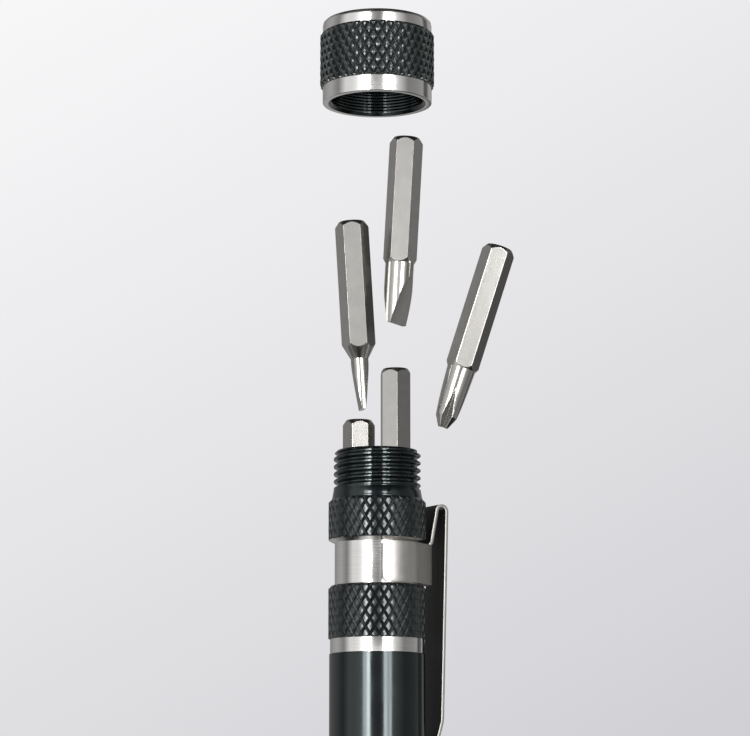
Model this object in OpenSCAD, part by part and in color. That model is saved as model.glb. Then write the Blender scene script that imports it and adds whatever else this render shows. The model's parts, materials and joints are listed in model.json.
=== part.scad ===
// Pocket screwdriver with its spare bits kept in the barrel.
// It is drawn as on a bench: cap off, three bits lifted out and two standing in the barrel.
// Millimetres. +Z runs along the barrel towards the cap, the origin is the mouth of the bit socket.
// -Y is the front, and the pocket clip points to +X and a little to the back.

/* [Bits] */
// Size across the flats of every hexagonal bit
bit_af = 4; // [3.4:0.1:5]
// Length of every bit
bit_len = 26; // [25:0.5:30]
// Length of the hexagonal shank
shank_len = 17; // [15:0.5:18]
// Height of the turned chamfer on the shank's end
bit_chamfer = 0.8; // [0.4:0.1:1.2]
// Width of that chamfer
bit_chamfer_w = 0.55; // [0.3:0.05:1]
// Height of the cone under the shank for each millimetre that it narrows
neck_slope = 1.85; // [0.8:0.05:2]
// Width of the wide slotted blade
wide_blade_w = 3.9; // [3:0.1:3.9]
// Width of the medium slotted blade
mid_blade_w = 3; // [2:0.1:3.3]
// Width of the fine slotted blade
fine_blade_w = 2.4; // [1.6:0.1:2.6]
// Turn of the fine blade against its hexagon
fine_blade_turn = -18; // [-30:1:30]
// Thickness of a slotted blade at its edge
blade_edge_t = 0.55; // [0.3:0.05:0.8]
// Length of the flats ground on a slotted blade
blade_flat_len = 6.5; // [4:0.5:6.5]
// Diameter of the large cross tip where its point begins
cross_d = 3.2; // [2.6:0.1:3.2]
// Diameter of the small cross tip where its point begins
small_cross_d = 2.2; // [1.8:0.1:2.6]
// How much wider a cross bit is at the shank than at its point
cross_swell = 0.7; // [0.2:0.05:0.8]
// Height of the point on a cross tip
cross_point = 1.5; // [0.8:0.1:2]
// Length of the flutes on a cross tip
flute_len = 6; // [3.5:0.5:6]
// Radius left between the flutes at the point
flute_web = 0.3; // [0.2:0.05:0.4]

/* [Bits out of the barrel] */
// Distance of the wide slotted bit's tip to the right of the axis
wide_x = 2.6; // [-5:0.1:5]
// Height of its tip above the shoulder
wide_z = 22; // [15:0.1:40]
// Lean of the wide slotted bit to the right
wide_lean = 3.2; // [-10:0.1:10]
// Turn of the wide slotted bit about its axis
wide_turn = 56; // [-90:1:90]
// Distance of the fine slotted bit's tip to the right of the axis
fine_x = -2; // [-8:0.1:0]
// Height of its tip above the shoulder
fine_z = 10.2; // [9:0.1:20]
// Lean of the fine slotted bit to the right
fine_lean = -3.4; // [-10:0.1:0]
// Turn of the fine slotted bit about its axis
fine_turn = -60; // [-90:1:90]
// Distance of the cross bit's tip to the right of the axis
cross_x = 8.9; // [8:0.1:20]
// Height of its tip above the shoulder
cross_z = 7.8; // [6:0.1:40]
// Lean of the cross bit to the right
cross_lean = 17.6; // [5:0.1:30]
// Turn of the cross bit about its axis
cross_turn = 4; // [-30:1:30]
// Air between the cap's path and the bits in front of it
loose_clear = 8; // [0.5:0.5:10]
// Height of the left standing bit above the barrel's rim
left_out = 4.4; // [1:0.1:20]
// Turn of the left standing bit about its axis
left_turn = 6; // [-30:1:30]
// Height of the right standing bit above the barrel's rim
right_out = 11.8; // [1:0.1:20]
// Turn of the right standing bit about its axis
right_turn = -24; // [-30:1:30]

/* [Barrel] */
// Height of the shoulder at the foot of the neck
shoulder_z = 104; // [100:1:140]
// Length of the neck above the shoulder
neck_len = 7; // [5:0.25:9]
// Wall of the neck, out to the crest of its thread
neck_wall = 0.95; // [0.8:0.05:1.2]
// Chamfer at the rim of the neck
rim_chamfer = 0.5; // [0.2:0.05:0.7]
// Length of the plain root of the neck
root_len = 1.35; // [0.5:0.05:2]
// Step from the crest of the thread out to the foot of the plain root
root_step = 0.25; // [0.1:0.05:0.3]
// Length of the knurl above the clip, with the cone under it
upper_knurl_len = 6.2; // [4:0.05:8]
// Length of the bright groove that holds the clip
groove_len = 6; // [5:0.05:8]
// Wall of the barrel inside the groove
groove_wall = 0.78; // [0.6:0.02:1.2]
// Depth of the groove below the knurl
groove_depth = 0.9; // [0.8:0.05:1.2]
// Height of the bright cone at the top of the groove
groove_cone = 0.45; // [0.3:0.05:1.2]
// Length of the knurl below the clip
lower_knurl_len = 7.5; // [4:0.1:12]
// Length of each bright band
band_len = 2; // [1:0.1:4]
// Height of the knurl above the plain barrel
knurl_rise = 0.15; // [0.05:0.05:0.3]
// Depth of a bright band below the plain barrel
band_sink = 0.12; // [0.04:0.02:0.2]
// Chamfer at each end of a knurl
knurl_chamfer = 0.45; // [0.35:0.05:0.5]
// Length of the knurled grip at the nose
grip_len = 22; // [12:1:26]
// Length of the nose's taper
taper_len = 9; // [5:0.5:12]
// Length of the straight collar at the nose
collar_len = 6; // [4:0.5:8]
// Wall of the nose around the bit holder
nose_wall = 0.75; // [0.5:0.05:1.5]
// Depth of the bit store below the rim of the neck
store_depth = 54; // [36:1:60]
// Air between the two standing bits
stored_gap = 0.6; // [0.2:0.1:1.5]

/* [Bit holder] */
// Depth of the hexagonal socket down to the magnet
socket_depth = 10; // [6:0.5:14]
// Wall of the holder outside the corners of the socket
holder_wall = 1.1; // [0.6:0.05:1.6]
// Length of the magnet
magnet_len = 3; // [1:0.5:6]
// Wall of the holder behind the magnet
holder_back = 2; // [1:0.5:5]
// Length of the holder that stands out of the nose
holder_lip = 1.2; // [0.5:0.1:3]

/* [Cap] */
// Height of the cap's mouth above the shoulder of the barrel
cap_lift = 57.75; // [40:0.25:80]
// Length of the cap
cap_len = 12.2; // [11:0.1:20]
// Length of the bright band at the cap's mouth
cap_rim_len = 2.3; // [1.5:0.1:4]
// Length of the bright band at the cap's closed end
cap_top_len = 1.85; // [1.2:0.05:3]
// Thickness of the cap's closed end
cap_top_t = 1.5; // [0.8:0.1:2.5]
// Thickness of the cap's lip at its mouth
cap_lip = 0.7; // [0.5:0.05:1.5]
// Chamfer inside the cap's mouth
mouth_chamfer = 0.6; // [0.2:0.05:0.8]
// Height of the cap's knurl above its bright bands
cap_knurl_rise = 0.4; // [0.2:0.05:1]
// Radius of the rounded edge at the closed end
cap_edge_r = 0.4; // [0.3:0.05:1]

/* [Clip] */
// Thickness of the spring strip
strip_t = 0.45; // [0.3:0.05:0.5]
// Width of the arm, and of the bridge and tab that carry it
arm_w = 5.4; // [4:0.1:6]
// Direction the clip points to, round from +X to the back
clip_turn = 30; // [0:1:90]
// Half of the angle that the spring band takes round the groove
band_half_turn = 114; // [95:1:150]
// Height of the spring band
band_h = 5.7; // [4:0.05:5.8]
// Air between the band and the lower wall of the groove
band_gap = 0.2; // [0.1:0.05:0.4]
// Radius of the rounded corners at the two ends of the band
band_corner_r = 0.6; // [0.2:0.1:1.5]
// How far the flat bridge stands out from the band
bridge_step = 0.85; // [0.5:0.05:1.2]
// Outer radius of the fold at the top of the clip
fold_r = 1.05; // [0.8:0.05:1.5]
// Distance of the top of the fold below the shoulder
fold_drop = 0.3; // [0.2:0.05:1.5]
// Air between the knurl and the tab where the fold begins
tab_air = 1.25; // [0.6:0.05:1.5]
// How far the tab steps out just above the band
tab_step = 0.35; // [0.1:0.05:0.5]
// How far the arm leans in between the fold and its bend
arm_lean = 0.85; // [0.3:0.05:1.2]
// Distance of the arm's bend above its contact with the barrel
arm_bend_len = 7; // [4:0.5:12]
// Distance of the arm's contact below the shoulder
contact_drop = 38; // [34:1:44]
// Height of the turned-out lead at the end of the arm
lead_len = 4; // [3:0.5:8]
// How far the lead turns out
lead_out = 1.1; // [0.5:0.1:3]
// Radius of the bends in the arm
bend_r = 4; // [1:0.5:8]
// Radius of the rounded corners at the end of the arm
foot_corner_r = 1.9; // [0.5:0.1:1.9]

/* [Fits] */
// Air between the standing bits and the store
store_clear = 0.3; // [0.1:0.05:0.6]
// Air between the neck and the bore of the cap
thread_clear = 0.12; // [0.05:0.01:0.17]
// Air between the root of the neck and the mouth of the cap
mouth_clear = 0.18; // [0.1:0.02:0.4]
// Air between the socket and a bit
socket_clear = 0.03; // [0.02:0.01:0.1]
// Air round the pressed-in bit holder and round the magnet
seat_clear = 0.02; // [0.01:0.01:0.03]
// Air between the groove and the band of the clip
clip_clear = 0.05; // [0.02:0.01:0.15]
// Air between the barrel and the contact of the arm
contact_clear = 0.08; // [0.05:0.01:0.3]
// Angle left open in the fold, which the arm closes as it springs out
fold_slit = 12; // [10:1:20]

/* [Hidden] */
$fn = 96;
eps = 0.01;
corner_step = 10;
fold_steps = 9;
bend_steps = 5;
bit_r = bit_af / sqrt(3);
shank_z = bit_len - shank_len;
store_r = 2 * bit_r + stored_gap / 2 + store_clear;
stored_x = bit_r + stored_gap / 2;
thread_r = store_r + neck_wall;
root_r = thread_r + root_step;
groove_r = store_r + groove_wall;
knurl_r = groove_r + groove_depth;
barrel_r = knurl_r - knurl_rise;
band_r = barrel_r - band_sink;
notch_r = knurl_r - knurl_chamfer;
rim_z = shoulder_z + neck_len;
groove_top = shoulder_z - upper_knurl_len;
groove_bottom = groove_top - groove_len;
lower_knurl_bottom = groove_bottom - lower_knurl_len;
rear_band_bottom = lower_knurl_bottom - band_len;
socket_r = bit_r + 2 * socket_clear / sqrt(3);
holder_r = socket_r + holder_wall;
holder_len = socket_depth + magnet_len + holder_back;
magnet_r = bit_af / 2 + socket_clear - seat_clear;
nose_r = holder_r + seat_clear + nose_wall;
collar_top = holder_lip + collar_len;
taper_top = collar_top + taper_len;
grip_bottom = taper_top + band_len;
grip_top = grip_bottom + grip_len;
cap_bore_r = thread_r + thread_clear;
cap_step_r = root_r + mouth_clear;
cap_step_depth = root_len + mouth_clear;
cap_rim_r = cap_step_r + mouth_chamfer + cap_lip;
cap_knurl_r = cap_rim_r + cap_knurl_rise;
loose_y = -(cap_knurl_r + loose_clear + bit_r);
clip_r = groove_r + clip_clear + strip_t / 2;
band_z = groove_bottom + band_gap;
band_top = band_z + band_h;
bridge_x = clip_r + bridge_step;
fold_x = knurl_r + tab_air + fold_r;
fold_z = shoulder_z - fold_drop - fold_r;
contact_z = shoulder_z - contact_drop;

// A turned form from its half outline of [radius, height] points
module turned(outline) {
    rotate_extrude() polygon(outline);
}

// Half outline of a knurled stretch, chamfered at both ends
function knurl_run(bottom, top, r, chamfer) = [
    [r - chamfer, bottom], [r, bottom + chamfer], [r, top - chamfer], [r - chamfer, top]
];

module barrel() {
    color("#1d2424")
    difference() {
        turned(concat(
            [[0, holder_lip], [nose_r, holder_lip], [nose_r, collar_top]],
            [[band_r, taper_top], [band_r, grip_bottom]],
            knurl_run(grip_bottom, grip_top, knurl_r, knurl_chamfer),
            [[band_r, grip_top], [band_r, grip_top + band_len], [barrel_r, grip_top + band_len]],
            [[barrel_r, rear_band_bottom], [band_r, rear_band_bottom], [band_r, lower_knurl_bottom]],
            knurl_run(lower_knurl_bottom, groove_bottom, knurl_r, knurl_chamfer),
            [[groove_r, groove_bottom], [groove_r, groove_top], [knurl_r, groove_top + groove_cone]],
            [[knurl_r, shoulder_z - knurl_chamfer], [max(notch_r, root_r + eps), shoulder_z]],
            [[root_r, shoulder_z], [thread_r, shoulder_z + root_len]],
            [[thread_r, rim_z - rim_chamfer], [thread_r - rim_chamfer, rim_z], [0, rim_z]]
        ));
        translate([0, 0, rim_z - store_depth]) cylinder(r = store_r, h = store_depth + eps);
        cylinder(r = holder_r + seat_clear, h = holder_len);
    }
}

module bit_holder() {
    color("silver")
    difference() {
        cylinder(r = holder_r, h = holder_len);
        translate([0, 0, -eps]) cylinder(r = socket_r, h = socket_depth + magnet_len + eps, $fn = 6);
    }
}

module bit_magnet() {
    color("gainsboro")
    translate([0, 0, socket_depth]) cylinder(r = magnet_r, h = magnet_len);
}

module cap() {
    edge_x = cap_rim_r - cap_edge_r;
    edge_z = cap_len - cap_edge_r;
    color("#1d2424")
    translate([0, 0, shoulder_z + cap_lift])
    difference() {
        union() {
            turned(concat(
                [[0, 0], [cap_rim_r, 0]],
                knurl_run(cap_rim_len, cap_len - cap_top_len, cap_knurl_r, cap_knurl_rise),
                [[cap_rim_r, edge_z], [0, edge_z]]
            ));
            cylinder(r = edge_x, h = cap_len);
            translate([0, 0, edge_z]) rotate_extrude() translate([edge_x, 0]) intersection() {
                circle(cap_edge_r);
                square(cap_edge_r);
            }
        }
        translate([0, 0, -eps]) cylinder(
            r1 = cap_step_r + mouth_chamfer + eps, r2 = cap_step_r, h = mouth_chamfer + eps
        );
        cylinder(r = cap_step_r, h = cap_step_depth);
        cylinder(r = cap_bore_r, h = cap_len - cap_top_t);
    }
}

function unit(v) = v / norm(v);

// From a point of a route to the edge of the strip: square at an end, along the mitre at a bend
function to_edge(route, i) =
    let (
        last = len(route) - 1,
        before = unit(route[max(i, 1)] - route[max(i, 1) - 1]),
        after = unit(route[min(i + 1, last)] - route[min(i, last - 1)]),
        mitre = unit(before + after)
    )
    [-mitre[1], mitre[0]] * strip_t / 2 / (mitre * before);

// The strip seen edge on, along a route of points
function strip_outline(route) = concat(
    [for (i = [0 : len(route) - 1]) route[i] + to_edge(route, i)],
    [for (i = [len(route) - 1 : -1 : 0]) route[i] - to_edge(route, i)]
);

// Points of the arc that rounds the corner between a and b
function round_bend(a, corner, b) =
    let (
        u = unit(a - corner),
        v = unit(b - corner),
        half = acos(u * v) / 2,
        centre = corner + unit(u + v) * bend_r / sin(half),
        first = corner + u * bend_r / tan(half) - centre,
        final = corner + v * bend_r / tan(half) - centre
    )
    [for (i = [0 : bend_steps]) centre + bend_r * unit(first + (final - first) * i / bend_steps)];

// Points of the fold between two angles above the outward direction
function fold_arc(from, to) = [
    for (i = [0 : fold_steps])
        let (a = from + (to - from) * i / fold_steps)
        [fold_x, fold_z] + (fold_r - strip_t / 2) * [cos(a), sin(a)]
];

// A strip as wide as the arm, along a route of [distance from the axis, height] points
module wide_strip(route) {
    rotate([90, 0, 0]) linear_extrude(height = arm_w, center = true) polygon(strip_outline(route));
}

// What a rounded corner of radius r takes off the strip, across a depth along X
module corner_cut(r, depth) {
    round = [for (a = [0 : corner_step : 90]) [r * sin(a) - r + eps, r * cos(a) - r + eps]];
    rotate([90, 0, 90]) linear_extrude(height = depth, center = true)
        polygon(concat([[eps, eps]], round));
}

// Half of the band: half the flat bridge, a straight to where it meets the groove's round, the round
module band_half() {
    corner = [bridge_x, arm_w / 2];
    reach = norm(corner);
    meet = atan2(corner[1], corner[0]) + acos(clip_r / reach);
    difference() {
        union() {
            rotate([0, 0, meet]) rotate_extrude(angle = band_half_turn - meet)
                translate([clip_r - strip_t / 2, band_z]) square([strip_t, band_h]);
            translate([0, 0, band_z]) linear_extrude(height = band_h)
                polygon(strip_outline([[bridge_x, 0], corner, clip_r * [cos(meet), sin(meet)]]));
        }
        rotate([0, 0, band_half_turn]) translate([clip_r, 0, 0]) {
            translate([0, 0, band_top]) corner_cut(band_corner_r, 2 * strip_t);
            translate([0, 0, band_z]) mirror([0, 0, 1]) corner_cut(band_corner_r, 2 * strip_t);
        }
    }
}

module clip_band() {
    color("lightgray")
    rotate([0, 0, clip_turn]) {
        band_half();
        mirror([0, 1, 0]) band_half();
        wide_strip(concat(
            [[bridge_x, band_top - strip_t], [bridge_x + tab_step, band_top + strip_t]],
            fold_arc(180, 90)
        ));
    }
}

module clip_arm() {
    arm_top = [fold_x + fold_r - strip_t / 2, fold_z];
    bend = [arm_top[0] - arm_lean, contact_z + arm_bend_len];
    contact = [barrel_r + contact_clear + strip_t / 2, contact_z];
    foot = [contact[0] + lead_out, contact_z - lead_len];
    color("lightgray")
    rotate([0, 0, clip_turn])
    difference() {
        wide_strip(concat(
            fold_arc(90 - fold_slit, 0),
            round_bend(arm_top, bend, contact),
            round_bend(bend, contact, foot),
            [foot]
        ));
        for (side = [0, 1])
            mirror([0, side, 0]) translate([foot[0], arm_w / 2, foot[1]])
                mirror([0, 0, 1]) corner_cut(foot_corner_r, 2 * lead_out + 2 * strip_t);
    }
}

// A bit with its tip at z = 0: the turned half outline below the shank, and the shank's hexagon
module bit_blank(lower) {
    out = bit_r + eps;
    intersection() {
        turned(concat(
            lower,
            [[out, shank_z], [out, bit_len - bit_chamfer], [out - bit_chamfer_w, bit_len], [0, bit_len]]
        ));
        translate([0, 0, -eps]) cylinder(r = bit_r, h = bit_len + 2 * eps, $fn = 6);
    }
}

// Height where the cone under the shank reaches a neck of radius r
function neck_top(r) = shank_z - (bit_r - r) * neck_slope;

module slotted_bit(blade_w, blade_turn = 0) {
    r = blade_w / 2;
    edge = blade_edge_t / 2;
    wide = 2 * bit_r;
    intersection() {
        bit_blank([[0, 0], [r, 0], [r, neck_top(r)]]);
        rotate([90, 0, 90 + blade_turn]) linear_extrude(height = 2 * wide, center = true) polygon([
            [-edge, -eps], [edge, -eps], [r, blade_flat_len], [wide, blade_flat_len],
            [wide, bit_len + 1], [-wide, bit_len + 1], [-wide, blade_flat_len], [-r, blade_flat_len]
        ]);
    }
}

module cross_tip_bit(tip_d) {
    r = tip_d / 2;
    neck_r = r + cross_swell / 2;
    flute_lean = atan((neck_r - flute_web) / flute_len);
    difference() {
        bit_blank([[0, 0], [r / 2, 0], [r, cross_point], [neck_r, neck_top(neck_r)]]);
        for (turn = [0 : 90 : 270])
            rotate([0, 0, turn]) translate([0, -flute_web, 0]) rotate([flute_lean, 0, 0])
                rotate([0, 0, -135]) translate([0, 0, -tip_d]) cube([tip_d, tip_d, tip_d + 1.2 * flute_len]);
    }
}

// Sets a bit out in front of the cap's path, leaning to the right
module set_out(x, z, lean, turn) {
    translate([x, loose_y, shoulder_z + z]) rotate([0, lean, 0]) rotate([0, 0, turn]) children();
}

// Stands a bit in the store, with its end above the barrel's rim
module stand_in_store(x, out, turn) {
    translate([x, 0, rim_z + out - bit_len]) rotate([0, 0, turn]) children();
}

module wide_slotted_bit() {
    color("silver") set_out(wide_x, wide_z, wide_lean, wide_turn) slotted_bit(wide_blade_w);
}

module fine_slotted_bit() {
    color("silver") set_out(fine_x, fine_z, fine_lean, fine_turn)
        slotted_bit(fine_blade_w, fine_blade_turn);
}

module cross_bit() {
    color("silver") set_out(cross_x, cross_z, cross_lean, cross_turn) cross_tip_bit(cross_d);
}

module standing_cross_bit() {
    color("silver") stand_in_store(-stored_x, left_out, left_turn) cross_tip_bit(small_cross_d);
}

module standing_slotted_bit() {
    color("silver") stand_in_store(stored_x, right_out, right_turn) slotted_bit(mid_blade_w);
}

barrel();
bit_holder();
bit_magnet();
cap();
clip_band();
clip_arm();
wide_slotted_bit();
fine_slotted_bit();
cross_bit();
standing_cross_bit();
standing_slotted_bit();
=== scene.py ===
import json
import math
import bpy
import bmesh
from mathutils import Matrix, Vector


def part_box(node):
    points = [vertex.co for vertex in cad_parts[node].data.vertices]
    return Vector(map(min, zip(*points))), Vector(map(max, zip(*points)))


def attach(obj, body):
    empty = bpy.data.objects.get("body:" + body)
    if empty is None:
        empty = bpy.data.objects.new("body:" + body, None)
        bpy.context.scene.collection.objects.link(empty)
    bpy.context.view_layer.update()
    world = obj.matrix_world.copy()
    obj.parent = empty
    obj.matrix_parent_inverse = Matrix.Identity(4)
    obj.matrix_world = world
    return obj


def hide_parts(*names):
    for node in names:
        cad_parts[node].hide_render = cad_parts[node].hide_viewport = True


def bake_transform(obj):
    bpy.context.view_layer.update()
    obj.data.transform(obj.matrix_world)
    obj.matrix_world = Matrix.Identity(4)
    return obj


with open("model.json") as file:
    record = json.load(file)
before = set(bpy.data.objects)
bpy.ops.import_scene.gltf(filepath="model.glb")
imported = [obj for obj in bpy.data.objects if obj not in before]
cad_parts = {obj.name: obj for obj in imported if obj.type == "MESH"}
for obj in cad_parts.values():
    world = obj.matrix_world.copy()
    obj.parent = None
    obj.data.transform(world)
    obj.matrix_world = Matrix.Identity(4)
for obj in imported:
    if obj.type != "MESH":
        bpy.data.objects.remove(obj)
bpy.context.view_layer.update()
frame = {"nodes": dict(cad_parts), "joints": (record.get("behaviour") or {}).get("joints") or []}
mm = 0.001
fullTurn = 2 * math.pi


def linear(hexColour):
    parts = [int(hexColour[i:i + 2], 16) / 255 for i in (1, 3, 5)]
    return [c / 12.92 if c <= 0.04045 else ((c + 0.055) / 1.055) ** 2.4 for c in parts] + [1]


# One node: settings are properties or sockets by name or number, links are sockets by name or number
def addNode(tree, kind, settings=None, links=None):
    node = tree.nodes.new(kind)
    for key, value in (settings or {}).items():
        if isinstance(key, str) and hasattr(node, key):
            setattr(node, key, value)
        else:
            node.inputs[key].default_value = value
    for key, source in (links or {}).items():
        tree.links.new(source, node.inputs[key])
    return node


def startMaterial(name, settings):
    material = bpy.data.materials.new(name)
    material.use_nodes = True
    tree = material.node_tree
    shader = tree.nodes["Principled BSDF"]
    for key, value in settings.items():
        shader.inputs[key].default_value = value
    place = addNode(tree, "ShaderNodeTexCoord").outputs["Object"]
    return material, tree, shader, place


noiseSpan = {"From Min": 0.3, "From Max": 0.7}  # nearly all of a noise texture lies between these
bumpHeight = 0.02 * mm                          # what a bump of strength 1 stands for

# Black anodised aluminium, turned and etched: a dark, slightly green dye under a hard clear oxide.
# The eye sees nearly no colour of its own, clear reflections with soft edges and a fine even grain.
anodised = {
    "dye": "#060909",
    "dyeShift": "#0d1211",
    "sheen": "#eaf7fa",
    "ior": 1.62,
    "grain": 0.09,       # mm, etched grain is finer and is drawn as coarse as shows
    "cloud": 4.0,        # mm, slow change of the dye and of the gloss
    "turning": 0.16,     # mm, feed of the lathe under the oxide
    "squeeze": (0.02, 0.02, 1.0),  # turning lines are noise drawn out round the axis
}


def makeAnodised(name, roughLow, roughHigh, lineDepth, grainDepth, coat=None):
    settings = {"IOR": anodised["ior"], "Metallic": 0.0, "Specular Tint": linear(anodised["sheen"])}
    material, tree, shader, place = startMaterial(name, {**settings, **(coat or {})})
    cloud = addNode(tree, "ShaderNodeTexNoise", {"Scale": 1 / (anodised["cloud"] * mm), "Detail": 4.0},
                    {"Vector": place})
    colour = addNode(tree, "ShaderNodeMix",
                     {"data_type": "RGBA", 6: linear(anodised["dye"]), 7: linear(anodised["dyeShift"])},
                     {"Factor": cloud.outputs["Fac"]})
    tree.links.new(colour.outputs[2], shader.inputs["Base Color"])
    gloss = addNode(tree, "ShaderNodeMapRange", {**noiseSpan, "To Min": roughLow, "To Max": roughHigh},
                    {"Value": cloud.outputs["Fac"]})
    tree.links.new(gloss.outputs[0], shader.inputs["Roughness"])
    grain = addNode(tree, "ShaderNodeTexNoise", {"Scale": 1 / (anodised["grain"] * mm), "Detail": 2.0},
                    {"Vector": place})
    squeeze = addNode(tree, "ShaderNodeVectorMath", {"operation": "MULTIPLY", 1: anodised["squeeze"]},
                      {0: place})
    lines = addNode(tree, "ShaderNodeTexNoise", {"Scale": 1 / (anodised["turning"] * mm), "Detail": 3.0},
                    {"Vector": squeeze.outputs[0]})
    grainBump = addNode(tree, "ShaderNodeBump", {"Strength": grainDepth, "Distance": bumpHeight},
                        {"Height": grain.outputs["Fac"]})
    lineBump = addNode(tree, "ShaderNodeBump", {"Strength": lineDepth, "Distance": bumpHeight},
                       {"Height": lines.outputs["Fac"], "Normal": grainBump.outputs[0]})
    tree.links.new(lineBump.outputs[0], shader.inputs["Normal"])
    return material


blackAnodised = makeAnodised(
    "black anodised aluminium", roughLow=0.1, roughHigh=0.16, lineDepth=0.12, grainDepth=0.06)
blackThread = makeAnodised(
    "black anodised thread", roughLow=0.05, roughHigh=0.09, lineDepth=0.0, grainDepth=0.02)
# Knurling rolls the metal dull under the oxide, which stays glossy
blackKnurl = makeAnodised(
    "black anodised knurl", roughLow=0.3, roughHigh=0.36, lineDepth=0.0, grainDepth=0.3,
    coat={"Specular IOR Level": 0.27, "Coat Weight": 0.9, "Coat Roughness": 0.14, "Coat IOR": 1.6})

# Pattern sizes are in mm: ring is the pitch of turning rings or drawn lines, cloud the width of stains.
# Noise is drawn out round the axis for rings, or along it for lines.
roundAxis, alongAxis = (0.03, 0.03, 1.0), (1.0, 1.0, 0.03)


def makeWorkedMetal(name, finish, roughLow, roughHigh, ringDepth, stretch=roundAxis):
    material, tree, shader, place = startMaterial(name, {"Metallic": 1.0})
    squeeze = addNode(tree, "ShaderNodeVectorMath", {"operation": "MULTIPLY", 1: stretch}, {0: place})
    rings = addNode(tree, "ShaderNodeTexNoise", {"Scale": 1 / (finish["ring"] * mm), "Detail": 4.0},
                    {"Vector": squeeze.outputs[0]})
    cloud = addNode(tree, "ShaderNodeTexNoise", {"Scale": 1 / (finish["cloud"] * mm), "Detail": 3.0},
                    {"Vector": place})
    colour = addNode(tree, "ShaderNodeMix",
                     {"data_type": "RGBA", 6: linear(finish["stain"]), 7: linear(finish["metal"])},
                     {"Factor": rings.outputs["Fac"]})
    tree.links.new(colour.outputs[2], shader.inputs["Base Color"])
    gloss = addNode(tree, "ShaderNodeMapRange", {**noiseSpan, "To Min": roughLow, "To Max": roughHigh},
                    {"Value": cloud.outputs["Fac"]})
    tree.links.new(gloss.outputs[0], shader.inputs["Roughness"])
    bump = addNode(tree, "ShaderNodeBump", {"Strength": ringDepth, "Distance": bumpHeight},
                   {"Height": rings.outputs["Fac"]})
    tree.links.new(bump.outputs[0], shader.inputs["Normal"])
    return material


# Aluminium cut bright on the lathe after anodising: nearly a mirror, drawn out by fine turning rings.
brightCut = {"metal": "#f4f3f1", "stain": "#dcdad7", "ring": 0.11, "cloud": 1.6}
brightAluminium = makeWorkedMetal(
    "bright cut aluminium", brightCut, roughLow=0.1, roughHigh=0.16, ringDepth=0.25)
# Steel turned and left bare: greyer and duller, with coarser rings.
turnedSteel = {"metal": "#c9c8c5", "stain": "#a9a7a3", "ring": 0.14, "cloud": 2.0}
holderSteel = makeWorkedMetal(
    "turned holder steel", turnedSteel, roughLow=0.24, roughHigh=0.34, ringDepth=0.3)
# Nickel plated on the magnet: smooth, bright and slightly yellow.
plating = {"metal": "#dcd8cf", "stain": "#c8c3b8", "ring": 0.3, "cloud": 0.8}
magnetNickel = makeWorkedMetal(
    "nickel plated magnet", plating, roughLow=0.12, roughHigh=0.2, ringDepth=0.08)
# Nickel plated spring strip: cold rolled, so faint lines run along it and the plating shines softly.
springStrip = {"metal": "#dddbd6", "stain": "#bdbab4", "ring": 0.12, "cloud": 1.2}
springSteel = makeWorkedMetal(
    "bright spring steel", springStrip, roughLow=0.31, roughHigh=0.38, ringDepth=0.05, stretch=alongAxis)

# Painted shade and painted reflection: the clip's inside, its tab and the ends of its band get a dull
# near-black colour. It stands in for the shade there and for the black barrel mirrored in them.
clipShadeColours = {"dark": "#070808", "pale": "#101110", "cloud": 0.5}
clipShade, clipShadeTree, clipShadeShader, clipShadePlace = startMaterial(
    "painted shade on spring steel", {"Metallic": 0.0, "IOR": 1.5, "Roughness": 0.55})
clipShadeCloud = addNode(clipShadeTree, "ShaderNodeTexNoise",
                     {"Scale": 1 / (clipShadeColours["cloud"] * mm), "Detail": 4.0}, {"Vector": clipShadePlace})
clipShadeMix = addNode(clipShadeTree, "ShaderNodeMix",
                   {"data_type": "RGBA", 6: linear(clipShadeColours["dark"]), 7: linear(clipShadeColours["pale"])},
                   {"Factor": clipShadeCloud.outputs["Fac"]})
clipShadeTree.links.new(clipShadeMix.outputs[2], clipShadeShader.inputs["Base Color"])

# Tool steel, drawn to a hexagon and ground: satin grey with fine lines along the bit.
bitFinish = {
    "metal": "#bebcb8", "stain": "#aaa8a4", "line": 0.1, "cloud": 1.5, "lineDepth": 0.012,
    "roughLow": 0.18, "roughHigh": 0.2, "stretch": (1.0, 1.0, 0.025),
}
bitSteel, bitTree, bitShader, bitPlace = startMaterial("ground bit steel", {"Metallic": 1.0})
bitStretch = addNode(bitTree, "ShaderNodeVectorMath", {"operation": "MULTIPLY", 1: bitFinish["stretch"]},
                     {0: bitPlace})
bitLines = addNode(bitTree, "ShaderNodeTexNoise", {"Scale": 1 / (bitFinish["line"] * mm), "Detail": 3.0},
                   {"Vector": bitStretch.outputs[0]})
bitCloud = addNode(bitTree, "ShaderNodeTexNoise", {"Scale": 1 / (bitFinish["cloud"] * mm), "Detail": 5.0},
                   {"Vector": bitPlace})
bitColour = addNode(bitTree, "ShaderNodeMix",
                    {"data_type": "RGBA", 6: linear(bitFinish["stain"]), 7: linear(bitFinish["metal"])},
                    {"Factor": bitCloud.outputs["Fac"]})
bitTree.links.new(bitColour.outputs[2], bitShader.inputs["Base Color"])
bitGloss = addNode(bitTree, "ShaderNodeMapRange",
                   {**noiseSpan, "To Min": bitFinish["roughLow"], "To Max": bitFinish["roughHigh"]},
                   {"Value": bitLines.outputs["Fac"]})
bitTree.links.new(bitGloss.outputs[0], bitShader.inputs["Roughness"])
bitBump = addNode(bitTree, "ShaderNodeBump", {"Strength": bitFinish["lineDepth"], "Distance": bumpHeight},
                  {"Height": bitLines.outputs["Fac"]})
bitTree.links.new(bitBump.outputs[0], bitShader.inputs["Normal"])
print("materials made")


# Edges that turn by more than the angle stay sharp
def smoothMesh(mesh, angle):
    mesh.shade_smooth()
    mesh.set_sharp_from_angle(angle=math.radians(angle))


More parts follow.
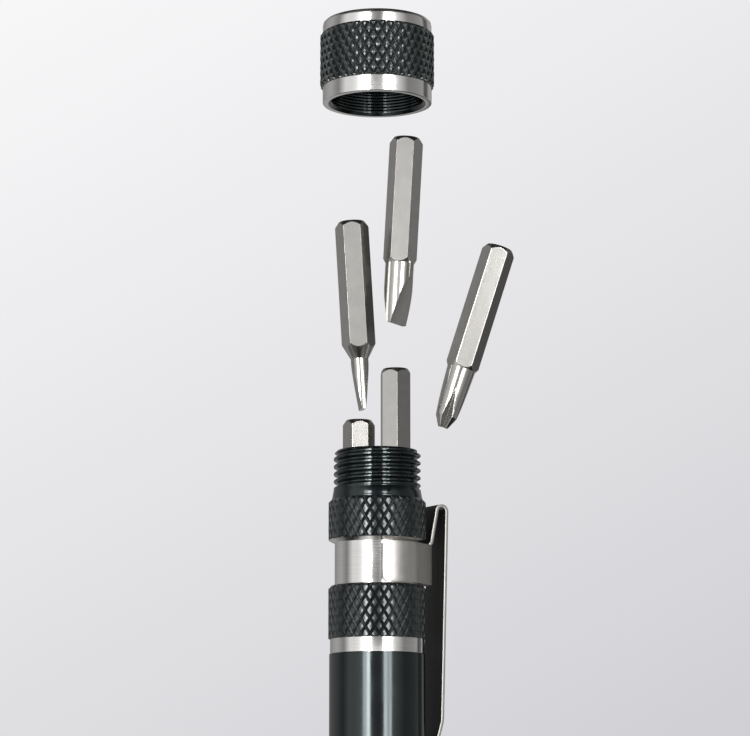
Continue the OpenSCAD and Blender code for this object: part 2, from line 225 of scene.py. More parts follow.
# Puts what the modifiers make into the piece's own mesh
def finishMesh(piece):
    bpy.context.view_layer.update()
    done = bpy.data.meshes.new_from_object(piece.evaluated_get(bpy.context.evaluated_depsgraph_get()))
    piece.modifiers.clear()
    old = piece.data
    piece.data = done
    bpy.data.meshes.remove(old)
    done.name = piece.name


# Large faces keep their own shading, so that only the eased edges beside them look round
def evenShading(piece):
    shading = piece.modifiers.new("shading", "WEIGHTED_NORMAL")
    shading.weight = 100
    shading.keep_sharp = True
    finishMesh(piece)


def placePiece(name, mesh, body, nodes, materials):
    piece = bpy.data.objects.new(name, mesh)
    bpy.context.scene.collection.objects.link(piece)
    for material in materials:
        mesh.materials.append(material)
    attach(piece, body)
    if nodes:
        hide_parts(*nodes)
        evenShading(piece)


# Rounds the corners of a half outline: each point is (radius, height, rounding, finish of what follows)
def easeOutline(points, steps=3):
    mostShare = 0.45  # of a side that a rounding may take
    eased = []
    for i, (r, z, rounding, finish) in enumerate(points):
        if not rounding or i in (0, len(points) - 1):
            eased.append((r, z, finish))
            continue
        here = Vector((r, z))
        toBefore = Vector(points[i - 1][:2]) - here
        toAfter = Vector(points[i + 1][:2]) - here
        before = here + toBefore.normalized() * min(rounding, toBefore.length * mostShare)
        after = here + toAfter.normalized() * min(rounding, toAfter.length * mostShare)
        for k in range(steps + 1):
            t = k / steps
            at = before * (1 - t) ** 2 + here * 2 * t * (1 - t) + after * t * t
            eased.append((at.x, at.y, finish))
    return eased


# A closed turned mesh from a half outline that starts and ends on the axis. The surface cuts threads into it.
def turnMesh(name, outline, columns, surface):
    shape = bmesh.new()
    rings = []
    for r, z, finish in outline:
        if r < 1e-6:
            rings.append([shape.verts.new((0, 0, z * mm))] * columns)
            continue
        ring = []
        for k in range(columns):
            angle = fullTurn * k / columns
            out = surface(r, z, angle, finish)
            ring.append(shape.verts.new((out * mm * math.cos(angle), out * mm * math.sin(angle), z * mm)))
        rings.append(ring)
    finishes = []
    for point, low, high in zip(outline, rings, rings[1:]):
        finish = point[2]
        if finish not in finishes:
            finishes.append(finish)
        for k in range(columns):
            n = (k + 1) % columns
            corners = [low[k], low[n], high[n], high[k]]
            face = shape.faces.new(list(dict.fromkeys(corners)))
            face.material_index = finishes.index(finish)
    bmesh.ops.recalc_face_normals(shape, faces=shape.faces)
    mesh = bpy.data.meshes.new(name)
    shape.to_mesh(mesh)
    shape.free()
    return mesh, finishes


# Diamond knurl: helical cuts of both hands leave truncated diamonds on a closed ring
def knurlMesh(name, knurl, bottom, top):
    starts, pitch, r = knurl["starts"], knurl["pitch"], knurl["r"]
    groove = (1 - knurl["flat"]) / 2
    steps = (0.0, groove, 0.5, 1 - groove, 1.0)
    shape = bmesh.new()
    firstRow = math.floor((bottom - knurl["rowZ"]) / pitch * 2) - 2
    lastRow = math.ceil((top - knurl["rowZ"]) / pitch * 2) + 2
    for row in range(firstRow, lastRow + 1):
        for column in range(starts):
            midU = column + 0.5 * (row % 2)
            midV = row / 2
            grid = []
            for fa in steps:
                line = []
                for fb in steps:
                    u = midU + (fa + fb - 1) / 2
                    v = midV + (fa - fb) / 2
                    # The middle of each diamond stands proud of its rim
                    crown = (fa == 0.5) + (fb == 0.5)
                    out = r - knurl["dome"] * (2 - crown) / 2
                    if fa in (0, 1) or fb in (0, 1):
                        out = r - knurl["depth"]
                    angle = math.radians(knurl["columnAngle"]) + fullTurn * u / starts
                    z = knurl["rowZ"] + v * pitch
                    line.append(shape.verts.new((out * math.cos(angle), out * math.sin(angle), z)))
                grid.append(line)
            for i in range(4):
                for j in range(4):
                    a, b, c, d = grid[i][j], grid[i + 1][j], grid[i + 1][j + 1], grid[i][j + 1]
                    if (i, j) in ((0, 3), (3, 0)):
                        shape.faces.new((a, b, d))
                        shape.faces.new((b, c, d))
                    elif (i, j) in ((0, 0), (3, 3)):
                        shape.faces.new((a, b, c))
                        shape.faces.new((a, c, d))
                    else:
                        shape.faces.new((a, b, c, d))
    bmesh.ops.remove_doubles(shape, verts=shape.verts, dist=1e-4)
    lowChamfer, highChamfer = knurl["chamfers"]
    for height, facing, clear in ((bottom, -1, True), (top, 1, True),
                                  (bottom + lowChamfer, 1, False), (top - highChamfer, 1, False)):
        bmesh.ops.bisect_plane(shape, geom=shape.verts[:] + shape.edges[:] + shape.faces[:], dist=1e-5,
                               plane_co=(0, 0, height), plane_no=(0, 0, facing), clear_outer=clear)
    for vert in shape.verts:
        limit = r - max(0.0, bottom + lowChamfer - vert.co.z, vert.co.z - top + highChamfer)
        out = math.hypot(vert.co.x, vert.co.y)
        if out > limit:
            vert.co.x *= limit / out
            vert.co.y *= limit / out
    ends = [edge for edge in shape.edges if edge.is_boundary]
    grown = bmesh.ops.extrude_edge_only(shape, edges=ends)["geom"]
    for vert in (g for g in grown if isinstance(g, bmesh.types.BMVert)):
        out = math.hypot(vert.co.x, vert.co.y)
        vert.co.x *= knurl["inner"] / out
        vert.co.y *= knurl["inner"] / out
    loops = [edge for edge in shape.edges if edge.is_boundary]
    bmesh.ops.bridge_loops(shape, edges=loops)
    bmesh.ops.recalc_face_normals(shape, faces=shape.faces)
    bmesh.ops.scale(shape, vec=(mm, mm, mm), verts=shape.verts)
    mesh = bpy.data.meshes.new(name)
    shape.to_mesh(mesh)
    shape.free()
    return mesh


# Barrel
barrel = {
    "noseR": 4.214, "bandR": 6.629, "barrelR": 6.749, "grooveR": 5.999, "rootR": 6.419, "crestR": 6.169,
    "storeR": 5.219, "storeBottom": 57.0, "seatR": 3.464, "seatTop": 15.0, "lip": 1.2,
    "collarTop": 7.2, "taperTop": 16.2, "gripBottom": 18.2, "gripTop": 40.2, "bandTop": 42.2,
    "rearBand": 82.3, "lowerKnurl": 84.3, "groove": 91.8, "grooveTop": 97.8, "cone": 0.45,
    "coneOut": 0.88, "shoulder": 104.0, "root": 1.35, "rim": 111.0, "rimChamfer": 0.5, "rimFace": 0.6,
    "coreR": 6.3, "columns": 192, "sharp": 35,
    "step": 0.1,         # from black to bright the cut goes this deep, and as far along
    "tuck": 0.05,        # the core runs this far in under a knurl's end
    "bandRise": 0.12, "storeEase": 0.15,
    "flare": {"foot": 0.02, "waist": 0.06, "rise": 0.3},  # root of the neck
}
thread = {
    "pitch": 1.065, "depth": 0.5, "rows": 0.075, "phase": -0.055, "runIn": 0.5,
    "flankEnd": 0.86, "flank": 0.7,  # in half pitches: from the crest to the root, and the flank's length
}
# starts counts the cuts of each hand, and flat is the share of a diamond's width that they leave
barrelKnurl = {
    "starts": 33, "pitch": 2.185, "r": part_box("barrel")[1].x / mm, "depth": 0.28, "flat": 0.56, "dome": 0.02,
    "chamfers": (0.15, 0.45), "inner": 6.0, "columnAngle": -98.4, "rowZ": 101.03,
}


# Height of the thread's profile from root 0 to crest 1, with rounded crests
def threadWave(z, angle):
    turnShare = (z / thread["pitch"] - angle / fullTurn + thread["phase"]) % 1
    away = abs(turnShare - 0.5) * 2
    rise = min(1.0, max(0.0, (thread["flankEnd"] - away) / thread["flank"]))
    return rise * rise * (3 - 2 * rise)


def neckSurface(r, z, angle, finish):
    if finish != "thread":
        return r
    start = barrel["shoulder"] + barrel["root"]
    runIn = min(1.0, max(0.0, (z - start) / thread["runIn"]))
    cut = thread["depth"] * runIn * (1 - threadWave(z, angle))
    chamfered = barrel["crestR"] - max(0.0, z - barrel["rim"] + barrel["rimChamfer"])
    return min(barrel["crestR"] - cut, chamfered)


def barrelOutline():
    b = barrel
    step, tuck, flare, ease = b["step"], b["tuck"], b["flare"], b["storeEase"]
    points = [
        (0, b["seatTop"], 0, "black"), (b["seatR"], b["seatTop"], 0, "black"),
        (b["seatR"], b["lip"], 0.06, "black"), (b["noseR"], b["lip"], 0.25, "black"),
        (b["noseR"], b["collarTop"], 0.5, "black"), (b["bandR"] - step, b["taperTop"], 0.1, "bright"),
        (b["bandR"], b["taperTop"] + b["bandRise"], 0.05, "bright"),
        (b["bandR"], b["gripBottom"], 0, "black"),
        (b["coreR"], b["gripBottom"] + tuck, 0, "black"), (b["coreR"], b["gripTop"] - tuck, 0, "black"),
        (b["bandR"], b["gripTop"], 0, "bright"), (b["bandR"], b["bandTop"], 0.03, "black"),
        (b["barrelR"], b["bandTop"] + step, 0.08, "black"),
        (b["barrelR"], b["rearBand"] - step, 0.08, "black"),
        (b["bandR"], b["rearBand"], 0.03, "bright"), (b["bandR"], b["lowerKnurl"], 0, "black"),
        (b["coreR"], b["lowerKnurl"] + tuck, 0, "black"), (b["coreR"], b["groove"] - tuck, 0, "black"),
        (b["coreR"] + step, b["groove"], 0, "bright"), (b["grooveR"], b["groove"] + 0.02, 0.1, "bright"),
        (b["grooveR"], b["grooveTop"], 0.06, "bright"),
        (b["grooveR"] + b["coneOut"], b["grooveTop"] + b["cone"], 0, "black"),
        (b["coreR"], b["grooveTop"] + b["cone"] + tuck, 0, "black"),
        (b["coreR"], b["shoulder"] - tuck, 0, "black"),
        (b["rootR"] + flare["foot"], b["shoulder"], 0.02, "black"),
        (b["rootR"] - flare["waist"], b["shoulder"] + flare["rise"], 0.1, "black"),
    ]
    outline = easeOutline(points + [(b["crestR"], b["shoulder"] + b["root"], 0, "black")])[:-1]
    start = b["shoulder"] + b["root"]
    rowCount = round((b["rim"] - start) / thread["rows"])
    for i in range(rowCount + 1):
        outline.append((b["crestR"], start + (b["rim"] - start) * i / rowCount, "thread"))
    inside = [
        (b["crestR"] - b["rimFace"], b["rim"], 0, "black"), (b["storeR"] + ease, b["rim"], 0.05, "black"),
        (b["storeR"], b["rim"] - ease, 0.05, "black"), (b["storeR"], b["storeBottom"], 0.2, "black"),
        (0, b["storeBottom"], 0, "black"),
    ]
    return outline + easeOutline(inside)


finishMaterials = {"black": blackAnodised, "thread": blackThread, "bright": brightAluminium}
barrelMesh, barrelFinishes = turnMesh("barrelTube", barrelOutline(), barrel["columns"], neckSurface)
smoothMesh(barrelMesh, barrel["sharp"])
placePiece("barrelTube", barrelMesh, "barrel", ["barrel"],
           [finishMaterials[f] for f in barrelFinishes])
coneTop = barrel["grooveTop"] + barrel["cone"]
for knurlName, low, high in (("upperKnurl", coneTop, barrel["shoulder"]),
                             ("lowerKnurl", barrel["lowerKnurl"], barrel["groove"]),
                             ("gripKnurl", barrel["gripBottom"], barrel["gripTop"])):
    ring = knurlMesh(knurlName, barrelKnurl, low, high)
    placePiece(knurlName, ring, "barrel", [], [blackKnurl])
print("barrel and its knurls made")

# Cap, with a thread that meets the neck's when the cap is screwed home
cap = {
    "mouth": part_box("cap")[0].z / mm, "top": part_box("cap")[1].z / mm,
    "rimR": 7.899, "stepR": 6.599, "boreR": 6.289, "rimLen": 2.3, "topLen": 1.85, "edge": 0.7,
    "mouthChamfer": 0.4, "lipEase": 0.15, "boreDepth": 10.7, "threadTop": 8.6, "threadFade": 0.4,
    "coreR": 7.68, "home": 58.2,
    "ringPitch": 0.45, "ringDepth": 0.07, "ringTop": 3.2, "ringFade": 0.2, "tuck": 0.05,
    "rows": 0.045, "columns": 192, "sharp": 35,
}
capKnurl = {
    "starts": 41, "pitch": 2.23, "r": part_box("cap")[1].x / mm, "depth": 0.4, "flat": 0.42, "dome": 0.05,
    "chamfers": (0.3, 0.4), "inner": 7.45, "columnAngle": -89.3, "rowZ": 168.39,
}


# Fine rings in the wide mouth, then the thread that takes the neck
def boreSurface(r, z, angle, finish):
    if finish != "thread":
        return r
    inside = z - cap["mouth"]
    deep = min(1.0, max(0.0, (inside - cap["ringTop"]) / cap["ringFade"]))
    turnShare = (z - cap["home"]) / thread["pitch"] - angle / fullTurn + thread["phase"]
    wave = 0.5 - 0.5 * math.cos(fullTurn * turnShare)
    fade = min(1.0, (cap["threadTop"] - inside) / cap["threadFade"])
    ringShare = (inside - cap["mouthChamfer"]) / cap["ringPitch"]
    rings = cap["ringDepth"] * (0.5 - 0.5 * math.cos(fullTurn * ringShare))
    return (cap["stepR"] - rings) * (1 - deep) + (cap["boreR"] - thread["depth"] * fade * (1 - wave)) * deep


def capOutline():
    c = cap
    z = c["mouth"]
    outside = [
        (0, c["top"], 0, "bright"), (c["rimR"], c["top"], c["edge"], "bright"),
        (c["rimR"], c["top"] - c["topLen"], 0, "black"),
        (c["coreR"], c["top"] - c["topLen"] - c["tuck"], 0, "black"),
        (c["coreR"], z + c["rimLen"] + c["tuck"], 0, "black"), (c["rimR"], z + c["rimLen"], 0, "bright"),
        (c["rimR"], z, c["lipEase"], "bright"), (c["stepR"] + c["mouthChamfer"], z, 0.06, "black"),
        (c["stepR"], z + c["mouthChamfer"], 0, "thread"),
    ]
    outline = easeOutline(outside)[:-1]
    start, end = z + c["mouthChamfer"], z + c["threadTop"]
    rowCount = round((end - start) / c["rows"])
    for i in range(rowCount + 1):
        outline.append((c["boreR"], start + (end - start) * i / rowCount, "thread"))
    outline += [(c["boreR"], z + c["boreDepth"], "black"), (0, z + c["boreDepth"], "black")]
    return outline


capMesh, capFinishes = turnMesh("capShell", capOutline(), cap["columns"], boreSurface)
smoothMesh(capMesh, cap["sharp"])
placePiece("capShell", capMesh, "cap", ["cap"],
           [finishMaterials[f] for f in capFinishes])
capRing = knurlMesh("capKnurl", capKnurl, cap["mouth"] + cap["rimLen"], cap["top"] - cap["topLen"])
placePiece("capKnurl", capRing, "cap", [], [blackKnurl])
print("cap made")

# Spring clip, one folded strip
clip = {
    "turn": 30.0, "strip": 0.45, "width": 5.6,
    "bandR": 6.2738, "bandHalf": 114.0, "bandZ": 92.0, "bandH": 5.7,
    "bridgeX": 7.1238, "cornerR": 0.45, "endR": 0.75, "foldX": 9.1988, "foldZ": 102.65, "foldR": 0.825,
    "tabStep": (0.35, 0.45), "bend": (9.1738, 73.0), "contact": (7.0538, 66.0), "foot": (8.1538, 62.0),
    "bendR": 4.0, "footR": 1.9, "bevel": 0.07, "bevelFrom": 50, "sharp": 40,
    "endShade": 1.2,        # degrees at each end of the band coloured near black: a painted shade line along the band's cut ends
    "tabFrom": (0.1, 0.2),    # the tab's painted shade starts so far above the band and ends so far past the fold
    "armLine": (0.12, -3.2),  # slope and offset of a line that parts the arm from the band and the tab
    "springs": ((8.92, 102.65), (9.757, 102.544)),  # reach and height where the fold starts and ends
    "steps": {"arc": 24, "end": 6, "fold": 20, "arm": 12, "foot": 8},
}


def roundCorner(before, corner, after, radius, steps):
    u, v = (before - corner).normalized(), (after - corner).normalized()
    half = u.angle(v) / 2
    centre = corner + (u + v).normalized() * radius / math.sin(half)
    first = corner + u * radius / math.tan(half) - centre
    final = corner + v * radius / math.tan(half) - centre
    return [centre + first.lerp(final, k / steps).normalized() * radius for k in range(steps + 1)]


def clipMesh():
    c = clip
    steps = c["steps"]
    half = c["width"] / 2
    corner = Vector((c["bridgeX"], half))
    meetAngle = math.atan2(half, c["bridgeX"]) + math.acos(c["bandR"] / corner.length)
    meet = c["bandR"] * Vector((math.cos(meetAngle), math.sin(meetAngle)))
    bend = roundCorner(Vector((c["bridgeX"], 0)), corner, meet, c["cornerR"], 5)
    flatHalf = bend[0].y
    bandRoute = [(Vector((c["bridgeX"], flatHalf * k / 4)), 0.0) for k in range(5)]
    bandRoute += [(p, 0.0) for p in bend[1:]]
    bandRoute += [(bend[-1].lerp(meet, k / 4), 0.0) for k in range(1, 5)]
    endAngle = math.radians(c["bandHalf"])
    cornerAngle = endAngle - c["endR"] / c["bandR"]
    for k in range(1, steps["arc"] + 1):
        a = meetAngle + (cornerAngle - meetAngle) * k / steps["arc"]
        bandRoute.append((c["bandR"] * Vector((math.cos(a), math.sin(a))), 0.0))
    for k in range(1, steps["end"] + 1):
        share = math.sin(math.radians(90 * k / steps["end"]))
        a = cornerAngle + share * (endAngle - cornerAngle)
        trim = c["endR"] * (1 - math.sqrt(max(0.0, 1 - share * share)))
        bandRoute.append((c["bandR"] * Vector((math.cos(a), math.sin(a))), trim))
    columns = [(Vector((p.x, -p.y)), trim) for p, trim in reversed(bandRoute[1:])] + bandRoute
    shape = bmesh.new()
    rows = 8
    sheet = []
    for p, trim in columns:
        low, high = c["bandZ"] + trim, c["bandZ"] + c["bandH"] - trim
        sheet.append([shape.verts.new((p.x, p.y, low + (high - low) * k / rows)) for k in range(rows + 1)])
    for left, right in zip(sheet, sheet[1:]):
        for k in range(rows):
            shape.faces.new((left[k], right[k], right[k + 1], left[k + 1]))
    # The tab, fold and arm grow from the top edge of the flat bridge
    fold = Vector((c["foldX"], c["foldZ"]))
    bridgeTop = Vector((c["bridgeX"], c["bandZ"] + c["bandH"]))
    foldStart = fold - Vector((c["foldR"], 0))
    armTop = fold + Vector((c["foldR"], 0))
    armBend, contact, foot = Vector(c["bend"]), Vector(c["contact"]), Vector(c["foot"])
    tabFoot = bridgeTop + Vector(c["tabStep"])
    route = [bridgeTop.lerp(tabFoot, k / 3) for k in range(1, 4)]
    route += [tabFoot.lerp(foldStart, k / 5) for k in range(1, 6)]
    for k in range(1, steps["fold"] + 1):
        a = math.pi * (1 - k / steps["fold"])
        route.append(fold + c["foldR"] * Vector((math.cos(a), math.sin(a))))
    upperBend = roundCorner(armTop, armBend, contact, c["bendR"], 6)
    lowerBend = roundCorner(armBend, contact, foot, c["bendR"], 8)
    route += [armTop.lerp(upperBend[0], k / steps["arm"]) for k in range(1, steps["arm"])] + upperBend
    route += [upperBend[-1].lerp(lowerBend[0], k / 5) for k in range(1, 5)] + lowerBend
    ahead = foot - lowerBend[-1]
    tongue = [(lowerBend[-1] + ahead * (1 - c["footR"] / ahead.length), 0.0)]
    for k in range(1, steps["foot"] + 1):
        share = math.sin(math.radians(90 * k / steps["foot"]))
        trim = c["footR"] * (1 - math.sqrt(max(0.0, 1 - share * share)))
        tongue.append((foot - ahead.normalized() * c["footR"] * (1 - share), trim))
    stations = [(p, 0.0) for p in route] + tongue
    middle = len(columns) // 2
    across = [column[-1] for column in sheet[middle - 4:middle + 5]]
    shares = [vert.co.y / flatHalf for vert in across]
    for p, trim in stations:
        line = [shape.verts.new((p.x, share * (flatHalf - trim), p.y)) for share in shares]
        for k in range(len(line) - 1):
            shape.faces.new((across[k], across[k + 1], line[k + 1], line[k]))
        across = line
    bmesh.ops.recalc_face_normals(shape, faces=shape.faces)
    bmesh.ops.rotate(shape, verts=shape.verts, cent=(0, 0, 0),
                     matrix=Matrix.Rotation(math.radians(c["turn"]), 3, "Z"))
    bmesh.ops.scale(shape, vec=(mm, mm, mm), verts=shape.verts)
    mesh = bpy.data.meshes.new("springClip")
    shape.to_mesh(mesh)
    shape.free()
    return mesh


springClip = bpy.data.objects.new("springClip", clipMesh())
bpy.context.scene.collection.objects.link(springClip)
solidify = springClip.modifiers.new("strip", "SOLIDIFY")
solidify.thickness = clip["strip"] * mm
solidify.offset = 0
solidify.use_even_offset = True
bevel = springClip.modifiers.new("edges", "BEVEL")
bevel.width = clip["bevel"] * mm
bevel.segments = 2
bevel.limit_method = "ANGLE"
bevel.angle_limit = math.radians(clip["bevelFrom"])
finishMesh(springClip)
smoothMesh(springClip.data, clip["sharp"])
springClip.data.materials.append(springSteel)
springClip.data.materials.append(clipShade)
clipWay = Vector((math.cos(math.radians(clip["turn"])), math.sin(math.radians(clip["turn"])), 0))
clipSide = clipWay.cross(Vector((0, 0, 1)))
tabBottom = clip["bandZ"] + clip["bandH"] + clip["tabFrom"][0]
tabEnd = clip["foldX"] + clip["tabFrom"][1]
armSlope, armOffset = clip["armLine"]
# Painted shade: the tab, the arm's inner face and the band's ends take the near-black second material
for polygon in springClip.data.polygons:
    reach = polygon.center.dot(clipWay) / mm
    height = polygon.center.z / mm
    facing = polygon.normal.dot(clipWay)
    onEdge = abs(polygon.normal.dot(clipSide)) > 0.5
    onTab = height > tabBottom and reach < tabEnd and not onEdge
    onArm = facing < -0.7 and reach - armSlope * height > armOffset
    turned = abs(math.degrees(clipWay.xy.angle(polygon.center.xy)))
    onEnd = turned > clip["bandHalf"] - clip["endShade"] and abs(polygon.normal.z) < 0.7
    if onTab or onArm or onEnd:
        polygon.material_index = 1
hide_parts("clip_band", "clip_arm")


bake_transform(springClip)
print("spring clip made")

# Bits: each keeps its solid's shape and gets eased edges
bits = {
    "wide_slotted_bit": "wideSlottedBit", "fine_slotted_bit": "fineSlottedBit", "cross_bit": "crossBit",
    "standing_cross_bit": "standingCrossBit", "standing_slotted_bit": "standingSlottedBit",
}
bitEdge = {
    "ease": 0.3, "shortShare": 0.5, "long": 8.0, "steps": 4, "weld": 0.002,
    "flat": 1, "eased": 18, "sharp": 30,  # degrees: faces that join, edges that are eased, sharp shading
}
jointAxes = {joint["child"]: Vector(joint["axis"]) for joint in frame["joints"]}
for node, bitName in bits.items():
    shape = bmesh.new()
    shape.from_mesh(frame["nodes"][node].data)
    # Stood upright about its own middle, so that the drawn lines run along it
    low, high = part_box(node)
    middle = (low + high) / 2
    stand = jointAxes[node].to_track_quat("Z", "Y").to_matrix().to_4x4()
    placing = Matrix.Translation(middle) @ stand
    bmesh.ops.transform(shape, matrix=placing.inverted(), verts=shape.verts)
    bmesh.ops.remove_doubles(shape, verts=shape.verts, dist=bitEdge["weld"] * mm)
    bmesh.ops.dissolve_limit(shape, angle_limit=math.radians(bitEdge["flat"]), verts=shape.verts,
                             edges=shape.edges)
    # The long edges of the hexagon are worn rounder than the others
    weights = shape.edges.layers.float.new("bevel_weight_edge")
    for edge in shape.edges:
        if edge.calc_face_angle(0) > math.radians(bitEdge["eased"]):
            edge[weights] = 1.0 if edge.calc_length() > bitEdge["long"] * mm else bitEdge["shortShare"]
    mesh = bpy.data.meshes.new(bitName)
    shape.to_mesh(mesh)
    shape.free()
    smoothMesh(mesh, bitEdge["sharp"])
    bit = bpy.data.objects.new(bitName, mesh)
    bpy.context.scene.collection.objects.link(bit)
    bit.matrix_world = placing
    mesh.materials.append(bitSteel)
    easing = bit.modifiers.new("eased edges", "BEVEL")
    easing.width = bitEdge["ease"] * mm
    easing.segments = bitEdge["steps"]
    easing.limit_method = "WEIGHT"
    evenShading(bit)
    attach(bit, node)
    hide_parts(node)
print("bits made")

for node, material in (("bit_holder", holderSteel), ("bit_magnet", magnetNickel)):
    for slot in frame["nodes"][node].material_slots:
        slot.material = material
print("holder and magnet finished")

# Camera at the photograph's viewing angle
view = {
    "at": (-0.31, -393.0, 58.45), "sensor": 36.0, "nearest": 0.01,
    "focal": 2790, "horizon": 458, "frame": 750,  # pixels: focal length, horizon under the middle, width
}
cameraData = bpy.data.cameras.new("camera")
cameraData.lens = view["focal"] * view["sensor"] / view["frame"]
cameraData.sensor_width = view["sensor"]
cameraData.clip_start = view["nearest"]
camera = bpy.data.objects.new("camera", cameraData)
camera.location = Vector(view["at"]) * mm
pitch = math.degrees(math.atan(view["horizon"] / view["focal"]))
camera.rotation_euler = (math.radians(90 + pitch), 0, 0)
bpy.context.scene.collection.objects.link(camera)
bpy.context.scene.camera = camera
print("camera placed")

# Studio: upright softboxes on both sides of the camera and a weak panel above it, in a pale tent
studio = {
    "distance": 0.7,
    "boxes": ({"angle": -20.8, "width": 7.8, "bottom": -0.06, "top": 0.55, "radiance": 15.0},
              {"angle": -29.5, "width": 9.0, "bottom": 0.0, "top": 0.55, "radiance": 6.0},
              {"angle": 19.45, "width": 8.1, "bottom": -0.06, "top": 0.55, "radiance": 9.3},
              {"angle": 26.0, "width": 5.0, "bottom": 0.0, "top": 0.55, "radiance": 4.5},
              {"angle": 31.5, "width": 6.0, "bottom": 0.0, "top": 0.55, "radiance": 7.5},
              {"angle": 0.0, "width": 22.0, "bottom": 0.2, "top": 0.335, "radiance": 0.7}),
    "tentLight": 0.15,
    # Degrees from the front, and how bright the tent is there in a reflection
    "panels": ((-180, 0.3), (-150, 0.28), (-126, 0.38), (-112, 0.4), (-100, 0.3), (-89, 0.22), (-79, 0.5),
               (-70, 0.8), (-55, 0.8), (-45, 0.95), (-36, 1.3), (-14, 0.4), (-3, 0.25), (6, 0.22), (13, 0.4),
               (38, 0.9), (44, 0.7), (52, 0.54), (60, 0.38), (68, 0.22), (97, 0.28), (114, 0.36), (118, 0.08),
               (124, 0.08), (128, 0.16), (132, 0.06), (136, 0.35), (162, 0.4), (167, 0.08), (176, 0.08),
               (180, 0.3)),
    # Share of the way from straight down to straight up, and how bright
    "heights": ((0.0, 0.9), (0.075, 0.9), (0.09, 0.05), (0.16, 0.05), (0.19, 0.6), (0.23, 0.8), (0.31, 1.2),
                (0.38, 1.2), (0.43, 1.0), (0.75, 1.0), (0.88, 0.1)),
    "pale": "#fbfbfc", "shade": "#cbcacf", "fallWay": (-0.46, 0.0, 0.89), "fallSpan": (-0.07, 0.35),
    "floor": "#e6e6e8", "floorGlow": "#d8d7db", "floorReach": 3.0, "floorDrop": 0.001,
    "glowFrom": (0.12, 0.5), "glowLeast": 0.5,  # metres from the object where the glow is least and full
}
for box in studio["boxes"]:
    lampData = bpy.data.lights.new("softbox", "AREA")
    lampData.shape = "RECTANGLE"
    lampData.size = 2 * studio["distance"] * math.tan(math.radians(box["width"] / 2))
    lampData.size_y = box["top"] - box["bottom"]
    lampData.energy = box["radiance"] * math.pi * lampData.size * lampData.size_y
    lamp = bpy.data.objects.new("softbox", lampData)
    a = math.radians(box["angle"])
    lamp.location = (studio["distance"] * math.sin(a), -studio["distance"] * math.cos(a),
                     (box["bottom"] + box["top"]) / 2)
    lamp.rotation_euler = (math.radians(90), 0, a)
    bpy.context.scene.collection.objects.link(lamp)

world = bpy.data.worlds.new("tent")
world.use_nodes = True
bpy.context.scene.world = world
tree = world.node_tree
background = tree.nodes["Background"]
way = addNode(tree, "ShaderNodeTexCoord").outputs["Generated"]
# Pale paper that falls off from the upper left to the lower right behind the object
slope = addNode(tree, "ShaderNodeVectorMath", {"operation": "DOT_PRODUCT", 1: studio["fallWay"]}, {0: way})
fallLow, fallHigh = studio["fallSpan"]
fall = addNode(tree, "ShaderNodeMapRange", {"From Min": fallLow, "From Max": fallHigh, "clamp": True},
               {"Value": slope.outputs["Value"]})
paper = addNode(tree, "ShaderNodeMix",
                {"data_type": "RGBA", 6: linear(studio["shade"]), 7: linear(studio["pale"])},
                {"Factor": fall.outputs[0]})
ray = addNode(tree, "ShaderNodeLightPath")
seen = addNode(tree, "ShaderNodeMath", {"operation": "MAXIMUM"},
               {0: ray.outputs["Is Camera Ray"], 1: ray.outputs["Is Transmission Ray"]})

# What polished metal mirrors: pale panels round the object with dark gaps between them. Above the panels the
# room is dark, and below them only the paper close under the object is pale.
apart = addNode(tree, "ShaderNodeSeparateXYZ", None, {0: way})
front = addNode(tree, "ShaderNodeMath", {"operation": "MULTIPLY", 1: -1.0}, {0: apart.outputs["Y"]})
bearing = addNode(tree, "ShaderNodeMath", {"operation": "ARCTAN2"},
                  {0: apart.outputs["X"], 1: front.outputs[0]})
turnShare = addNode(tree, "ShaderNodeMapRange", {"From Min": -math.pi, "From Max": math.pi},
                    {"Value": bearing.outputs[0]})
heightShare = addNode(tree, "ShaderNodeMapRange", {"From Min": -1.0, "From Max": 1.0},
                      {"Value": apart.outputs["Z"]})
panelStops = [((degrees + 180) / 360, bright) for degrees, bright in studio["panels"]]
ramps = []
for along, stops in ((turnShare, panelStops), (heightShare, studio["heights"])):
    ramp = addNode(tree, "ShaderNodeValToRGB", None, {"Fac": along.outputs[0]})
    elements = ramp.color_ramp.elements
    elements[0].position, elements[1].position = stops[0][0], stops[-1][0]
    for position, bright in stops[1:-1]:
        elements.new(position)
    for element, (position, bright) in zip(elements, stops):
        element.color = [bright] * 3 + [1]
    ramps.append(ramp)
tent = addNode(tree, "ShaderNodeMix", {"data_type": "RGBA", "blend_type": "MULTIPLY", "Factor": 1.0},
               {6: ramps[0].outputs["Color"], 7: ramps[1].outputs["Color"]})
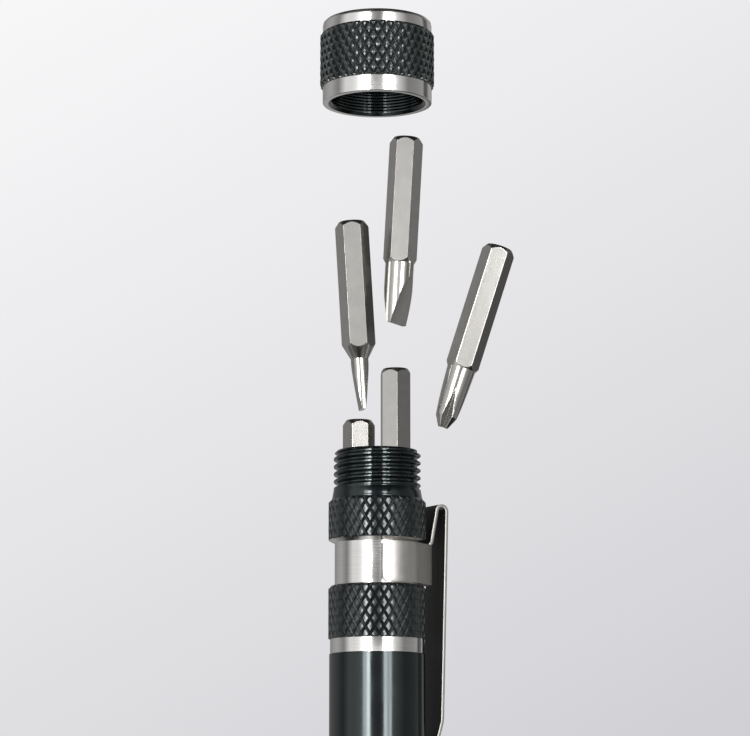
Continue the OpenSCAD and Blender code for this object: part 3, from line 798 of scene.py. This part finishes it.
glossy = addNode(tree, "ShaderNodeMix", {"data_type": "RGBA", 6: [studio["tentLight"]] * 3 + [1]},
                 {"Factor": ray.outputs["Is Glossy Ray"], 7: tent.outputs[2]})
shown = addNode(tree, "ShaderNodeMix", {"data_type": "RGBA"},
                {"Factor": seen.outputs[0], 6: glossy.outputs[2], 7: paper.outputs[2]})
tree.links.new(shown.outputs[2], background.inputs["Color"])
background.inputs["Strength"].default_value = 1.0
print("studio lit")

floorMesh = bpy.data.meshes.new("floor")
far = studio["floorReach"]
floorMesh.from_pydata([(-far, -far, 0), (far, -far, 0), (far, far, 0), (-far, far, 0)], [], [(0, 1, 2, 3)])
floor = bpy.data.objects.new("floor", floorMesh)
floor.location.z = -studio["floorDrop"]
bpy.context.scene.collection.objects.link(floor)
floorMaterial, floorTree, floorShader, floorPlace = startMaterial(
    "pale paper floor", {"Roughness": 0.8, "Base Color": linear(studio["floor"])})
# To the camera the paper glows a little, all of it further off, so that the lamps leave no bright patch
away = addNode(floorTree, "ShaderNodeVectorMath", {"operation": "LENGTH"}, {0: floorPlace})
glowNear, glowFar = studio["glowFrom"]
glow = addNode(floorTree, "ShaderNodeMapRange",
               {"From Min": glowNear, "From Max": glowFar, "To Min": studio["glowLeast"], "clamp": True},
               {"Value": away.outputs["Value"]})
direct = addNode(floorTree, "ShaderNodeLightPath").outputs["Is Camera Ray"]
glowShare = addNode(floorTree, "ShaderNodeMath", {"operation": "MULTIPLY"}, {0: glow.outputs[0], 1: direct})
paperGlow = addNode(floorTree, "ShaderNodeEmission", {"Color": linear(studio["floorGlow"])})
floorMix = addNode(floorTree, "ShaderNodeMixShader", None,
                   {0: glowShare.outputs[0], 1: floorShader.outputs[0], 2: paperGlow.outputs[0]})
floorTree.links.new(floorMix.outputs[0], floorTree.nodes["Material Output"].inputs["Surface"])
floorMaterial.cycles.emission_sampling = "NONE"
floorMesh.materials.append(floorMaterial)
floor.visible_glossy = False  # polished metal mirrors the panels, not the floor

bpy.context.scene.view_settings.view_transform = "Standard"
print("scene ready")
